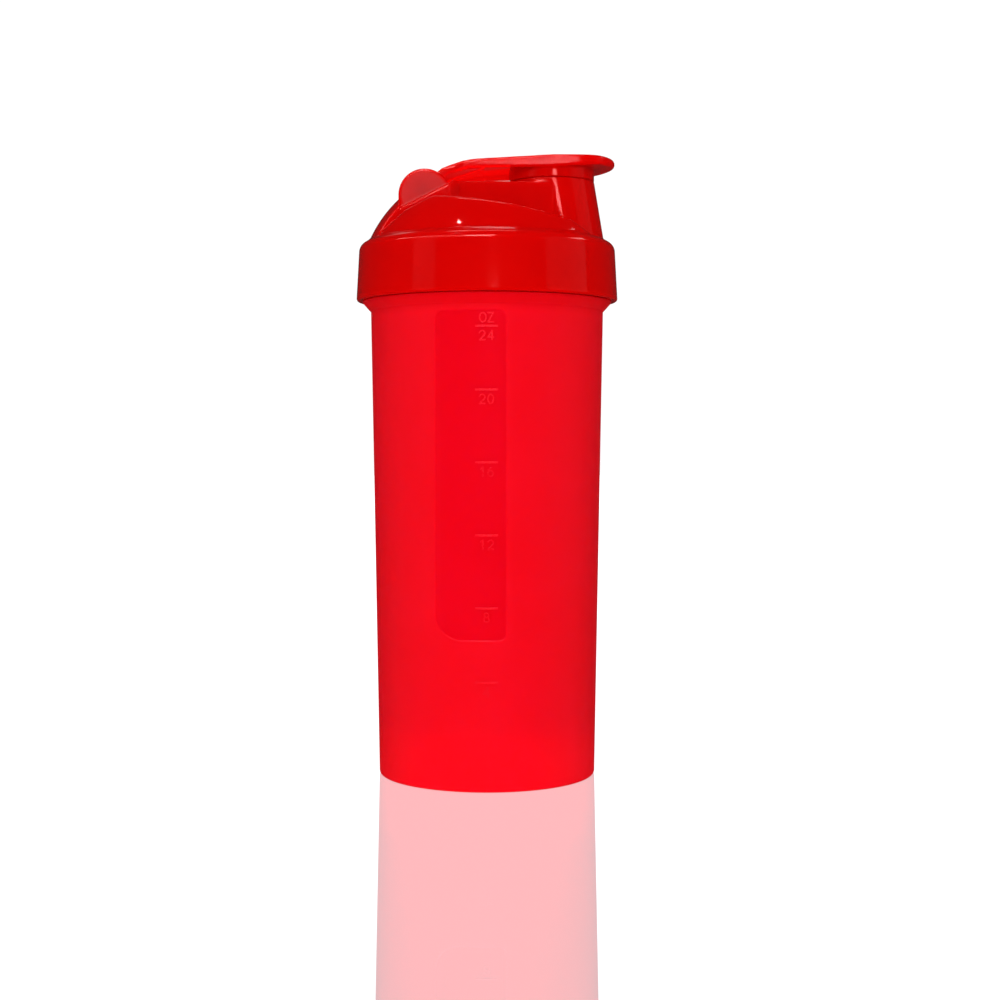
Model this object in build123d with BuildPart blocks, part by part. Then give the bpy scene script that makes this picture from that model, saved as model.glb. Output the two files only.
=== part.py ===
from build123d import *
import math
import os

os.makedirs("parts", exist_ok=True)

# Protein shaker bottle: a drafted cup, a screw lid with a domed top and a side
# spout, a flip cap hinged between two ears, and the seals and strainer inside.
# Units are millimetres, +Z is up, the spout is on +X and the hinge is on -X.
# Z = 0 is the table under the cup's foot ring, and the cup's axis is X = Y = 0.

# ---- cup sizes ----
foot_radius = 38.55
foot_rounding = 1.2
foot_inner_radius = 36.9
body_top_radius = 41.7
body_top_height = 165.2
cup_wall = 1.3
floor_top = 7.5
floor_thickness = 1.4
bowl_corner_radius = 15.0
flange_radius = 44.7
flange_top = 168.6
neck_radius = 41.7
rim_top = 186.5
rim_rounding = 0.5
draft_angle = math.degrees(math.atan((body_top_radius - foot_radius) / body_top_height))

# ---- measuring window and graduation bars ----
window_depth = 0.2
window_width = 24.1
window_centre_x = -5.5
window_bottom = 51.5
window_top = 163.0
window_corner = 2.5
window_arch_corner = 9.0
bar_height = 0.25
bar_width = 7.7
bar_centre_x = -0.15
bar_thickness = 0.8
bar_levels = [37.4, 62.5, 87.1, 111.7, 136.2, 157.6]

# ---- three-start screw thread ----
thread_lead = 14.4
thread_starts = 3
thread_pitch = thread_lead / thread_starts
thread_span = 150.0
thread_height = 1.4
thread_root_half = 1.3
thread_crest_half = 0.8
thread_overlap = 0.4
cup_thread_level = 173.4
lid_thread_level = cup_thread_level - thread_pitch / 2
thread_rise = thread_lead * thread_span / 360

# ---- lid collar and dome ----
collar_bottom = 169.0
collar_bottom_radius = 46.9
collar_edge_rounding = 0.8
collar_top_radius = 45.95
collar_side_top = 186.9
shoulder_rounding = 3.0
shoulder_turn = 61.0
crease_radius = 42.3
dome_radius = 46.3
dome_centre_height = 171.9
dome_wall = 2.2
collar_bore_radius = 43.6
shelf_height = 188.2
skirt_outer_radius = 39.8
skirt_inner_radius = 38.4
skirt_bottom = 183.0

# ---- raised band, deck and spout tower on top of the dome ----
deck_height = 210.5
deck_wall = 2.1
deck_half_width = 14.3
band_foot_height = 170.0
band_foot_half_width = 17.65
band_bore_half_width = 12.95
pad_half_width = 18.2
ridge_x = -30.5
tower_x = 23.4
tower_radius = 15.15
tower_top = 212.0
tower_foot_x = 27.0
tower_foot_radius = 15.2
tower_foot_height = 190.0
throat_foot_x = 24.6
throat_foot_radius = 13.2
lip_outer_radius = 11.8
lip_inner_radius = 10.0
lip_top = 216.2

# ---- hinge ----
hinge_x = -22.4
hinge_height = 206.8
ear_x = -21.9
ear_height = 205.3
ear_radius = 9.15
ear_root = 200.0
ear_inner = 15.2
ear_outer = 17.6
pocket_radius = 6.0
trunnion_radius = 2.2
socket_radius = 2.28
trunnion_end = 16.7
socket_end = 16.9

# ---- flip cap ----
cap_half_width = 14.8
cap_head_half_width = 15.9
cap_lip_x = 26.6
cap_lip_radius = 19.3
cap_lip_corner = 3.0
cap_top = 219.75
cap_lip_bottom = 216.75
cap_wall = 1.8
ring_bottom = 212.3
ring_inner_radius = 13.4
seat_radius = 12.4
seat_bottom = 216.5
seat_top = 218.2
knuckle_radius = 5.4
knuckle_wall = 1.8

# ---- seals and strainer ----
seal_flange_radius = 12.36
seal_plug_radius = 9.4
seal_plug_tip_radius = 9.0
seal_plug_bottom = 214.4
seal_wall = 2.0
gasket_inner_radius = 39.9
gasket_outer_radius = 43.3
gasket_bottom = 186.6
gasket_top = 188.1
strainer_radius = 38.3
strainer_rim_wall = 1.3
strainer_bottom = 183.2
strainer_rim_top = 188.6
strainer_plate = 1.6
strainer_pitch = 8.4
strainer_opening = 6.4


def body_radius(height):
    return foot_radius + (body_top_radius - foot_radius) * height / body_top_height


def dome_height(radius, outer_radius):
    return dome_centre_height + math.sqrt(outer_radius ** 2 - radius ** 2)


# ---- one ridge of the cup's thread, turned into three below ----
with BuildPart() as cup_ridge:
    with BuildLine() as cup_helix:
        Helix(pitch=thread_lead, height=thread_rise, radius=neck_radius, center=(0, 0, cup_thread_level))
    with BuildSketch(Plane(origin=cup_helix.line @ 0, x_dir=(1, 0, 0), z_dir=cup_helix.line % 0)):
        with BuildLine():
            Polyline(
                (-thread_overlap, -thread_root_half),
                (0, -thread_root_half),
                (thread_height, -thread_crest_half),
                (thread_height, thread_crest_half),
                (0, thread_root_half),
                (-thread_overlap, thread_root_half),
                close=True,
            )
        make_face()
    sweep(path=cup_helix.line, is_frenet=True)

# ---- shallow flat-bottomed recess that makes the clear measuring window ----
with BuildPart() as window_recess:
    with BuildSketch(Plane.XZ):
        with BuildLine():
            Polyline(
                (body_radius(window_bottom - 5) - window_depth, window_bottom - 5),
                (body_radius(window_bottom - 5) + 2, window_bottom - 5),
                (body_radius(window_top + 2) + 2, window_top + 2),
                (body_radius(window_top + 2) - window_depth, window_top + 2),
                close=True,
            )
        make_face()
    revolve(axis=Axis.Z)
    with BuildSketch(Plane.XZ):
        with BuildLine():
            window_left = window_centre_x - window_width / 2
            window_right = window_centre_x + window_width / 2
            FilletPolyline(
                (window_left, window_bottom),
                (window_right, window_bottom),
                (window_right, window_top),
                (window_left, window_top),
                radius=[window_arch_corner, window_corner, window_corner, window_corner],
                close=True,
            )
        make_face()
    extrude(amount=60, mode=Mode.INTERSECT)

# ---- raised graduation bars ----
with BuildPart() as graduation_bars:
    with BuildSketch(Plane.XZ):
        with BuildLine():
            Polyline(
                (body_radius(20) - 0.6, 20),
                (body_radius(20) - window_depth + bar_height, 20),
                (body_radius(164) - window_depth + bar_height, 164),
                (body_radius(164) - 0.6, 164),
                close=True,
            )
        make_face()
    revolve(axis=Axis.Z)
    with BuildSketch(Plane.XZ):
        for bar_level in bar_levels:
            with Locations((bar_centre_x, bar_level)):
                Rectangle(bar_width, bar_thickness)
    extrude(amount=60, mode=Mode.INTERSECT)

# ---- cup: one revolved wall with a bowl floor, foot ring, flange and neck ----
with BuildPart() as cup:
    with BuildSketch(Plane.XZ):
        with BuildLine():
            bowl_reach = body_radius(floor_top + bowl_corner_radius) - cup_wall - bowl_corner_radius
            under_floor = Line((0, floor_top - floor_thickness), (bowl_reach, floor_top - floor_thickness))
            under_radius = bowl_corner_radius + floor_thickness
            under_angle = math.degrees(math.asin((foot_inner_radius - bowl_reach) / under_radius))
            under_corner = JernArc(under_floor @ 1, (1, 0), under_radius, under_angle)
            foot_inside = Line(under_corner @ 1, (foot_inner_radius, 0))
            foot_face = Line(foot_inside @ 1, (foot_radius - foot_rounding, 0))
            foot_corner = JernArc(foot_face @ 1, (1, 0), foot_rounding, 90 - draft_angle)
            outer_wall = Line(foot_corner @ 1, (body_top_radius, body_top_height))
            flare = Line(outer_wall @ 1, (flange_radius, flange_top - 0.3))
            flange_edge = Line(flare @ 1, (flange_radius - 0.3, flange_top))
            flange_face = Line(flange_edge @ 1, (neck_radius, flange_top))
            neck_outside = Line(flange_face @ 1, (neck_radius, rim_top))
            rim = Line(neck_outside @ 1, (neck_radius - cup_wall, rim_top))
            neck_inside = Line(rim @ 1, (neck_radius - cup_wall, body_top_height))
            bowl_floor = Line((0, floor_top), (bowl_reach, floor_top))
            bowl_corner = JernArc(bowl_floor @ 1, (1, 0), bowl_corner_radius, 90 - draft_angle)
            inner_wall = Line(neck_inside @ 1, bowl_corner @ 1)
            axis_line = Line((0, floor_top), (0, floor_top - floor_thickness))
        make_face()
    revolve(axis=Axis.Z)
    fillet(cup.edges().group_by(Axis.Z)[-1], rim_rounding)
    add(window_recess.part, mode=Mode.SUBTRACT)
    add(graduation_bars.part)
    for ridge_number in range(thread_starts):
        add(cup_ridge.part, rotation=(0, 0, ridge_number * 360 / thread_starts))
cup.part.label = "cup"
export_step(cup.part, "parts/cup.step")

# ---- outline of the ledge on both sides of the band, seen from the side ----
def draw_ledge(drop):
    rear = Polyline((-60, 191 - drop), (-37.5, 191 - drop), (-28, 199.1 - drop), (-18.6, 203.4 - drop))
    slope = ThreePointArc(rear @ 1, (3.5, 200.4 - drop), (25.4, 195.7 - drop))
    front = Polyline(slope @ 1, (29.1, 195.3 - drop), (36.2, 191 - drop), (60, 191 - drop))
    Polyline(front @ 1, (60, 150), (-60, 150), rear @ 0)


# ---- dome cut down to the ledges ----
with BuildPart() as ledge_dome:
    with BuildSketch(Plane.XZ):
        with BuildLine() as dome_outline:
            collar_base = Line((0, collar_bottom), (collar_bottom_radius - collar_edge_rounding, collar_bottom))
            collar_edge = JernArc(collar_base @ 1, (1, 0), collar_edge_rounding, 90)
            collar_side = Line(collar_edge @ 1, (collar_top_radius, collar_side_top))
            shoulder = JernArc(collar_side @ 1, (0, 1), shoulder_rounding, shoulder_turn)
            crease = Line(shoulder @ 1, (crease_radius, dome_height(crease_radius, dome_radius)))
            dome_mid_radius = dome_radius * math.sin(math.radians(40))
            dome_mid_height = dome_height(dome_mid_radius, dome_radius)
            dome_top = (0, dome_centre_height + dome_radius)
            dome_arc = ThreePointArc(crease @ 1, (dome_mid_radius, dome_mid_height), dome_top)
            dome_axis = Line(dome_arc @ 1, (0, collar_bottom))
        make_face()
    revolve(axis=Axis.Z)
    with BuildSketch(Plane.XZ):
        with BuildLine():
            draw_ledge(0)
        make_face()
    extrude(amount=60, both=True, mode=Mode.INTERSECT)

# ---- width of the raised band: square hinge pads, then sides that lean in towards the deck ----
with BuildPart() as band_walls:
    with BuildSketch(Plane.YZ.offset(-12)):
        with BuildLine():
            Polyline(
                (-band_foot_half_width, band_foot_height),
                (-deck_half_width, deck_height),
                (-deck_half_width, 230),
                (deck_half_width, 230),
                (deck_half_width, deck_height),
                (band_foot_half_width, band_foot_height),
                close=True,
            )
        make_face()
    extrude(amount=tower_x + 12)
    with BuildSketch(Plane.XY.offset(band_foot_height)):
        with BuildLine():
            Polyline(
                (-60, -pad_half_width),
                (-12.6, -pad_half_width),
                (-9.8, -deck_half_width),
                (-9.8, deck_half_width),
                (-12.6, pad_half_width),
                (-60, pad_half_width),
                close=True,
            )
        make_face()
    extrude(amount=60)

# ---- raised band: rear strip of the dome, hinge pads and deck ----
with BuildPart() as band:
    with BuildSketch(Plane.XZ):
        with BuildLine():
            Line((0, 175), (crease_radius, 175))
            Line((crease_radius, 175), (crease_radius, dome_height(crease_radius, dome_radius)))
            ThreePointArc(
                (crease_radius, dome_height(crease_radius, dome_radius)),
                (dome_mid_radius, dome_mid_height),
                dome_top,
            )
            Line(dome_top, (0, 175))
        make_face()
    revolve(axis=Axis.Z)
    with BuildSketch(Plane.XZ):
        with BuildLine():
            Polyline(
                (-60, 176),
                (-60, 230),
                (ridge_x, 230),
                (ridge_x, 200.5),
                (-13.6, 208.95),
                (-12.0, deck_height),
                (tower_x, deck_height),
                (tower_x, 176),
                close=True,
            )
        make_face()
    extrude(amount=60, both=True, mode=Mode.INTERSECT)
    add(band_walls.part, mode=Mode.INTERSECT)

# ---- everything hollow inside the lid ----
with BuildPart() as lid_hollow:
    inner_dome_radius = dome_radius - dome_wall
    with BuildSketch(Plane.XZ):
        with BuildLine():
            bore_base = Line((0, 160), (collar_bore_radius, 160))
            bore_side = Line(bore_base @ 1, (collar_bore_radius, shelf_height))
            shelf = Line(bore_side @ 1, (skirt_outer_radius, shelf_height))
            skirt_out = Line(shelf @ 1, (skirt_outer_radius, skirt_bottom))
            skirt_end = Line(skirt_out @ 1, (skirt_inner_radius, skirt_bottom))
            skirt_in = Line(skirt_end @ 1, (skirt_inner_radius, dome_height(skirt_inner_radius, inner_dome_radius)))
            inner_mid_radius = inner_dome_radius * math.sin(math.radians(35))
            inner_mid = (inner_mid_radius, dome_height(inner_mid_radius, inner_dome_radius))
            inner_arc = ThreePointArc(skirt_in @ 1, inner_mid, (0, dome_centre_height + inner_dome_radius))
            inner_axis = Line(inner_arc @ 1, (0, 160))
        make_face()
    revolve(axis=Axis.Z)
    with BuildSketch(Plane.XZ):
        with BuildLine():
            draw_ledge(dome_wall)
        make_face()
    extrude(amount=60, both=True, mode=Mode.INTERSECT)

# ---- hollow behind the hinge, under the rear strip ----
with BuildPart() as strip_hollow:
    with BuildSketch(Plane.XZ):
        with BuildLine():
            Line((0, 180), (skirt_inner_radius, 180))
            strip_side = Line((skirt_inner_radius, 180), skirt_in @ 1)
            ThreePointArc(skirt_in @ 1, inner_mid, (0, dome_centre_height + inner_dome_radius))
            Line((0, dome_centre_height + inner_dome_radius), (0, 180))
        make_face()
    revolve(axis=Axis.Z)
    with BuildSketch(Plane.XY.offset(170)):
        with Locations((ridge_x - dome_wall - 10, 0)):
            Rectangle(20, 2 * (pad_half_width - dome_wall))
    extrude(amount=60, mode=Mode.INTERSECT)

# ---- one ridge of the lid's thread ----
with BuildPart() as lid_ridge:
    with BuildLine() as lid_helix:
        Helix(pitch=thread_lead, height=thread_rise, radius=collar_bore_radius, center=(0, 0, lid_thread_level))
    with BuildSketch(Plane(origin=lid_helix.line @ 0, x_dir=(1, 0, 0), z_dir=lid_helix.line % 0)):
        with BuildLine():
            Polyline(
                (thread_overlap, -thread_root_half),
                (0, -thread_root_half),
                (-thread_height, -thread_crest_half),
                (-thread_height, thread_crest_half),
                (0, thread_root_half),
                (thread_overlap, thread_root_half),
                close=True,
            )
        make_face()
    sweep(path=lid_helix.line, is_frenet=True)

# ---- screw lid ----
with BuildPart() as screw_lid:
    add(ledge_dome.part)
    add(band.part)
    with BuildSketch(Plane.XY.offset(tower_foot_height)):
        with Locations((tower_foot_x, 0)):
            Circle(tower_foot_radius)
    with BuildSketch(Plane.XY.offset(tower_top)):
        with Locations((tower_x, 0)):
            Circle(tower_radius)
    loft()
    with BuildSketch(Plane.XY.offset(tower_top)):
        with Locations((tower_x, 0)):
            Circle(lip_outer_radius)
    extrude(amount=lip_top - tower_top)
    for ear_plane in (ear_inner, -ear_outer):
        with BuildSketch(Plane.XZ.offset(ear_plane)):
            with Locations((ear_x, ear_height)):
                Circle(ear_radius)
            with Locations((ear_x - ear_radius / 2, (ear_root + ear_height) / 2)):
                Rectangle(ear_radius, ear_height - ear_root)
        extrude(amount=ear_outer - ear_inner)
    with BuildSketch(Plane.XZ.offset(-ear_inner)):
        with Locations((hinge_x, hinge_height)):
            Circle(pocket_radius)
    extrude(amount=2 * ear_inner, mode=Mode.SUBTRACT)
    with BuildSketch(Plane.XZ.offset(-socket_end)):
        with Locations((hinge_x, hinge_height)):
            Circle(socket_radius)
    extrude(amount=2 * socket_end, mode=Mode.SUBTRACT)
    add(lid_hollow.part, mode=Mode.SUBTRACT)
    add(strip_hollow.part, mode=Mode.SUBTRACT)
    with BuildSketch(Plane.XZ):
        with BuildLine():
            Polyline(
                (-14.2, 190),
                (-14.2, 205.4),
                (-11.2, deck_height - deck_wall),
                (tower_x, deck_height - deck_wall),
                (tower_x, 190),
                close=True,
            )
        make_face()
    extrude(amount=band_bore_half_width, both=True, mode=Mode.SUBTRACT)
    with BuildSketch(Plane.XY.offset(tower_foot_height)):
        with Locations((throat_foot_x, 0)):
            Circle(throat_foot_radius)
    with BuildSketch(Plane.XY.offset(tower_top - dome_wall)):
        with Locations((tower_x, 0)):
            Circle(tower_radius - dome_wall)
    loft(mode=Mode.SUBTRACT)
    with BuildSketch(Plane.XY.offset(200)):
        with Locations((tower_x, 0)):
            Circle(lip_inner_radius)
    extrude(amount=20, mode=Mode.SUBTRACT)
    for ridge_number in range(thread_starts):
        add(lid_ridge.part, rotation=(0, 0, ridge_number * 360 / thread_starts))
screw_lid.part.label = "screw_lid"
export_step(screw_lid.part, "parts/screw_lid.step")

# ---- flip cap plate with its rim band ----
with BuildPart() as cap_plate:
    with BuildSketch(Plane.XY.offset(200)) as cap_outline:
        with Locations((cap_lip_x, 0)):
            Circle(cap_lip_radius)
        Rectangle(120, 2 * cap_head_half_width, mode=Mode.INTERSECT)
        fillet(cap_outline.vertices().filter_by_position(Axis.X, 36, 39), cap_lip_corner)
        with BuildLine():
            Polyline(
                (hinge_x, -cap_half_width),
                (-11.5, -cap_half_width),
                (-8.5, -cap_head_half_width),
                (cap_lip_x, -cap_head_half_width),
                (cap_lip_x, cap_head_half_width),
                (-8.5, cap_head_half_width),
                (-11.5, cap_half_width),
                (hinge_x, cap_half_width),
                close=True,
            )
        make_face()
    extrude(amount=30)
    with BuildSketch(Plane.XZ):
        with BuildLine():
            back_slope = Line((-20.4, 211.4), (-15.9, 215.0))
            shoulder_bend = ThreePointArc(back_slope @ 1, (-9.2, 217.3), (-0.8, 218.4))
            arm_top = Line(shoulder_bend @ 1, (tower_x, cap_top))
            lip_round = (cap_top - cap_lip_bottom) / 2
            lip_end = cap_lip_x + cap_lip_radius
            head_top = Line(arm_top @ 1, (lip_end - lip_round, cap_top))
            lip_nose = JernArc(head_top @ 1, (1, 0), lip_round, -180)
            lip_under = Line(lip_nose @ 1, (tower_x, 215.35))
            rim_under = Line(lip_under @ 1, (-7.0, 215.0))
            rim_bend = Line(rim_under @ 1, (-13.5, 213.0))
            rim_back = Line(rim_bend @ 1, (-18.2, 209.2))
            rim_close = Line(rim_back @ 1, back_slope @ 0)
        make_face()
    extrude(amount=20, both=True, mode=Mode.INTERSECT)

# ---- flip cap ----
with BuildPart() as flip_cap:
    add(cap_plate.part)
    with BuildSketch(Plane.XZ):
        with BuildLine():
            Polyline(
                (-17.4, 205),
                (-17.4, 211.2),
                (-15.0, 213.3),
                (-9.4, 215.6),
                (-2.0, 216.8),
                (tower_x, 218.2),
                (tower_x, 205),
                close=True,
            )
        make_face()
    extrude(amount=cap_half_width - cap_wall, both=True, mode=Mode.SUBTRACT)
    with BuildSketch(Plane.XY.offset(ring_bottom)):
        with Locations((tower_x, 0)):
            Circle(tower_radius)
    extrude(amount=seat_top + 0.6 - ring_bottom)
    with BuildSketch(Plane.XY.offset(ring_bottom)):
        with Locations((tower_x, 0)):
            Circle(ring_inner_radius)
    extrude(amount=seat_bottom - ring_bottom, mode=Mode.SUBTRACT)
    with BuildSketch(Plane.XY.offset(seat_bottom)):
        with Locations((tower_x, 0)):
            Circle(seat_radius)
    extrude(amount=seat_top - seat_bottom, mode=Mode.SUBTRACT)
    with BuildSketch(Plane.XZ):
        with BuildLine():
            Polyline(
                (-17.3, 208.2),
                (-12.6, 210.7),
                (-0.9, 214.7),
                (-0.5, 216.9),
                (-7.6, 216.9),
                (-15.8, 214.6),
                (-21.0, 210.6),
                close=True,
            )
        make_face()
        with Locations((hinge_x, hinge_height)):
            Circle(knuckle_radius)
    extrude(amount=cap_half_width, both=True)
    with BuildSketch(Plane.XZ):
        with BuildLine():
            Polyline(
                (hinge_x - 4, 200),
                (hinge_x - 4, hinge_height - 2),
                (hinge_x - 2.6, hinge_height + 2.2),
                (hinge_x + 0.8, hinge_height + 3.6),
                (-17.4, 211.2),
                (-15.0, 213.3),
                (-9.4, 215.6),
                (-2.0, 216.8),
                (4.0, 217.13),
                (4.0, 200),
                close=True,
            )
        make_face()
    extrude(amount=cap_half_width - cap_wall - 0.2, both=True, mode=Mode.SUBTRACT)
    with BuildSketch(Plane.XZ.offset(-trunnion_end)):
        with Locations((hinge_x, hinge_height)):
            Circle(trunnion_radius)
    extrude(amount=trunnion_end - cap_half_width + cap_wall)
    with BuildSketch(Plane.XZ.offset(trunnion_end)):
        with Locations((hinge_x, hinge_height)):
            Circle(trunnion_radius)
    extrude(amount=-(trunnion_end - cap_half_width + cap_wall))
flip_cap.part.label = "flip_cap"
export_step(flip_cap.part, "parts/flip_cap.step")

# ---- soft plug that seals the spout, pressed into the flip cap ----
with BuildPart() as spout_seal:
    with BuildSketch(Plane.XY.offset(seat_bottom)):
        with Locations((tower_x, 0)):
            Circle(seal_flange_radius)
    extrude(amount=seat_top - seat_bottom)
    with BuildSketch(Plane.XY.offset(seat_bottom)):
        with Locations((tower_x, 0)):
            Circle(seal_plug_radius)
    with BuildSketch(Plane.XY.offset(seal_plug_bottom)):
        with Locations((tower_x, 0)):
            Circle(seal_plug_tip_radius)
    loft()
    with BuildSketch(Plane.XY.offset(seal_plug_bottom)):
        with Locations((tower_x, 0)):
            Circle(seal_plug_tip_radius - seal_wall)
    extrude(amount=seat_bottom - seal_plug_bottom, mode=Mode.SUBTRACT)
spout_seal.part.label = "spout_seal"
export_step(spout_seal.part, "parts/spout_seal.step")

# ---- sealing ring between the cup's rim and the lid ----
with BuildPart() as lid_gasket:
    with BuildSketch(Plane.XY.offset(gasket_bottom)):
        Circle(gasket_outer_radius)
        Circle(gasket_inner_radius, mode=Mode.SUBTRACT)
    extrude(amount=gasket_top - gasket_bottom)
    fillet(lid_gasket.edges(), 0.4)
lid_gasket.part.label = "lid_gasket"
export_step(lid_gasket.part, "parts/lid_gasket.step")

# ---- mixing strainer, pushed up inside the lid's skirt ----
with BuildPart() as strainer:
    with BuildSketch(Plane.XY.offset(strainer_bottom)):
        Circle(strainer_radius)
        with GridLocations(strainer_pitch, strainer_pitch, 9, 9):
            Rectangle(strainer_opening, strainer_opening, mode=Mode.SUBTRACT)
    extrude(amount=strainer_plate)
    with BuildSketch(Plane.XY.offset(strainer_bottom)):
        Circle(strainer_radius)
        Circle(strainer_radius - strainer_rim_wall, mode=Mode.SUBTRACT)
    extrude(amount=strainer_rim_top - strainer_bottom)
strainer.part.label = "strainer"
export_step(strainer.part, "parts/strainer.step")
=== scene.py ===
import math

import bpy
import numpy as np
from mathutils import Matrix, Vector


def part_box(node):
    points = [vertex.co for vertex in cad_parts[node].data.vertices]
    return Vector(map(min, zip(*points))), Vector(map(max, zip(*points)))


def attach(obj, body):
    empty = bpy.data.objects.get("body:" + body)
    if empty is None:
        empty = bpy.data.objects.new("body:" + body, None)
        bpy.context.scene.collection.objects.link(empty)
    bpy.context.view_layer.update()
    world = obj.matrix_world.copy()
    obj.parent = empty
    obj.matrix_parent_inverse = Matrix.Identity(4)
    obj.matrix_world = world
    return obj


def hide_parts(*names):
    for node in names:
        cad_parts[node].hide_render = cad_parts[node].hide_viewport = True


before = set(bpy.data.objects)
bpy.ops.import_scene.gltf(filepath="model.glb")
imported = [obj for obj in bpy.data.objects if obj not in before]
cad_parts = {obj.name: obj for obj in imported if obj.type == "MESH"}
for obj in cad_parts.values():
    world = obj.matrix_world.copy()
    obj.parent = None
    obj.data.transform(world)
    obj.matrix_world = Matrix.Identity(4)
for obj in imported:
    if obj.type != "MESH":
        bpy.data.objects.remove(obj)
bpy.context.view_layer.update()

# The bottle stands on the origin, its spout on +X and its hinge on -X.
# Shapes are worked out in millimetres and made into metres at the end.
MM = 0.001
FAR = 60.0
LID_STEP = 0.7
CAP_STEP = 0.5
THREAD_STEP = 0.6


# ---- camera: level, at the photograph's distance and height ----
camera_data = bpy.data.cameras.new("camera")
camera_data.sensor_width = 36.0
camera_data.lens = 59.87
camera_data.shift_x = 0.013
camera_data.shift_y = -0.0543
camera = bpy.data.objects.new("camera", camera_data)
camera.location = (0.0, -0.5995, 0.1173)
camera.rotation_euler = (math.radians(90), 0, 0)
bpy.context.scene.collection.objects.link(camera)
bpy.context.scene.camera = camera


# ---- distance functions, in millimetres, negative inside ----
def polygon(u, v, points):
    """Signed distance to a closed outline in the plane of u and v."""
    nearest = np.full(u.shape, 1e9)
    sign = np.ones(u.shape)
    count = len(points)
    for i in range(count):
        au, av = points[i]
        bu, bv = points[(i + 1) % count]
        eu, ev = bu - au, bv - av
        wu, wv = u - au, v - av
        share = np.clip((wu * eu + wv * ev) / (eu * eu + ev * ev), 0, 1)
        nearest = np.minimum(nearest, (wu - eu * share) ** 2 + (wv - ev * share) ** 2)
        above_a = v >= av
        above_b = v < bv
        left = eu * wv > ev * wu
        crossing = (above_a & above_b & left) | (~above_a & ~above_b & ~left)
        sign = np.where(crossing, -sign, sign)
    return sign * np.sqrt(nearest)


def both(a, b, rounding=0.0):
    """Intersection, its edge rounded to that radius."""
    if np.max(rounding) <= 0:
        return np.maximum(a, b)
    ua, ub = np.maximum(a + rounding, 0), np.maximum(b + rounding, 0)
    return np.minimum(-rounding, np.maximum(a, b)) + np.sqrt(ua * ua + ub * ub)


def either(a, b, fillet=0.0):
    """Union, its inner corner filled to that radius."""
    if fillet <= 0:
        return np.minimum(a, b)
    ua, ub = np.maximum(fillet - a, 0), np.maximum(fillet - b, 0)
    return np.maximum(fillet, np.minimum(a, b)) - np.sqrt(ua * ua + ub * ub)


def without(a, b, rounding=0.0):
    return both(a, -b, rounding)


def slab(v, low, high):
    return np.maximum(low - v, v - high)


def disc(u, v, cu, cv, radius):
    return np.hypot(u - cu, v - cv) - radius


def ramp(z, low, high, at_low, at_high):
    return at_low + (at_high - at_low) * np.clip((z - low) / (high - low), 0, 1)


def bend(a, via, b, steps=8):
    """Points on the arc from a through via to b."""
    (ax, ay), (bx, by), (cx, cy) = a, via, b
    cross = 2 * (ax * (by - cy) + bx * (cy - ay) + cx * (ay - by))
    aa, bb, cc = ax * ax + ay * ay, bx * bx + by * by, cx * cx + cy * cy
    mx = (aa * (by - cy) + bb * (cy - ay) + cc * (ay - by)) / cross
    my = (aa * (cx - bx) + bb * (ax - cx) + cc * (bx - ax)) / cross
    radius = math.hypot(ax - mx, ay - my)
    start, end = math.atan2(ay - my, ax - mx), math.atan2(cy - my, cx - mx)
    turn = (end - start + math.pi) % (2 * math.pi) - math.pi
    return [(mx + radius * math.cos(start + turn * t), my + radius * math.sin(start + turn * t))
            for t in np.linspace(0, 1, steps)]


# ---- turns a distance function into an even mesh of quads ----
def net(distance, low, high, step):
    axes = [np.arange(a, b + step, step) for a, b in zip(low, high)]
    shape = [len(a) for a in axes]
    value = np.empty(shape, np.float32)
    for i in range(0, shape[0], 16):
        gx, gy, gz = np.meshgrid(axes[0][i:i + 16], axes[1], axes[2], indexing="ij")
        value[i:i + 16] = distance(gx, gy, gz)
    inside = value < 0
    count = np.zeros([n - 1 for n in shape], np.int8)
    corners = [(i, j, k) for i in (0, 1) for j in (0, 1) for k in (0, 1)]
    for i, j, k in corners:
        count += inside[i:shape[0] - 1 + i, j:shape[1] - 1 + j, k:shape[2] - 1 + k]
    cell = np.argwhere((count > 0) & (count < 8))
    index = np.full(count.shape, -1, np.int64)
    index[tuple(cell.T)] = np.arange(len(cell))
    total = np.zeros((len(cell), 3))
    hits = np.zeros(len(cell))
    for axis in range(3):
        for i in (0, 1):
            for j in (0, 1):
                start = [0, 0, 0]
                start[(axis + 1) % 3], start[(axis + 2) % 3] = i, j
                end = list(start)
                end[axis] = 1
                a = value[tuple((cell + start).T)]
                b = value[tuple((cell + end).T)]
                cut = (a < 0) != (b < 0)
                share = np.where(cut, a / np.where(cut, a - b, 1), 0)
                spot = np.array(start) + share[:, None] * (np.array(end) - start)
                total += np.where(cut[:, None], spot, 0)
                hits += cut
    points = (cell + total / hits[:, None]) * step + np.array([a[0] for a in axes])
    faces = []
    for axis in range(3):
        u, v = (axis + 1) % 3, (axis + 2) % 3
        first = [slice(None)] * 3
        second = [slice(None)] * 3
        first[axis], second[axis] = slice(0, -1), slice(1, None)
        a, b = inside[tuple(first)], inside[tuple(second)]
        edge = np.argwhere(a != b)
        edge = edge[(edge[:, u] > 0) & (edge[:, v] > 0)]
        edge = edge[(edge[:, u] < shape[u] - 1) & (edge[:, v] < shape[v] - 1)]
        outward = a[tuple(edge.T)]
        ring = []
        for du, dv in ((-1, -1), (0, -1), (0, 0), (-1, 0)):
            c = edge.copy()
            c[:, u] += du
            c[:, v] += dv
            ring.append(index[tuple(c.T)])
        quad = np.stack(ring, 1)
        quad[~outward] = quad[~outward][:, ::-1]
        faces.append(quad)
    return points, np.concatenate(faces)


def gradient(distance, p, reach=0.02):
    out = np.empty_like(p)
    for axis in range(3):
        step = np.zeros(3)
        step[axis] = reach
        a, b = p + step, p - step
        out[:, axis] = (distance(*a.T) - distance(*b.T)) / (2 * reach)
    return out


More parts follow.
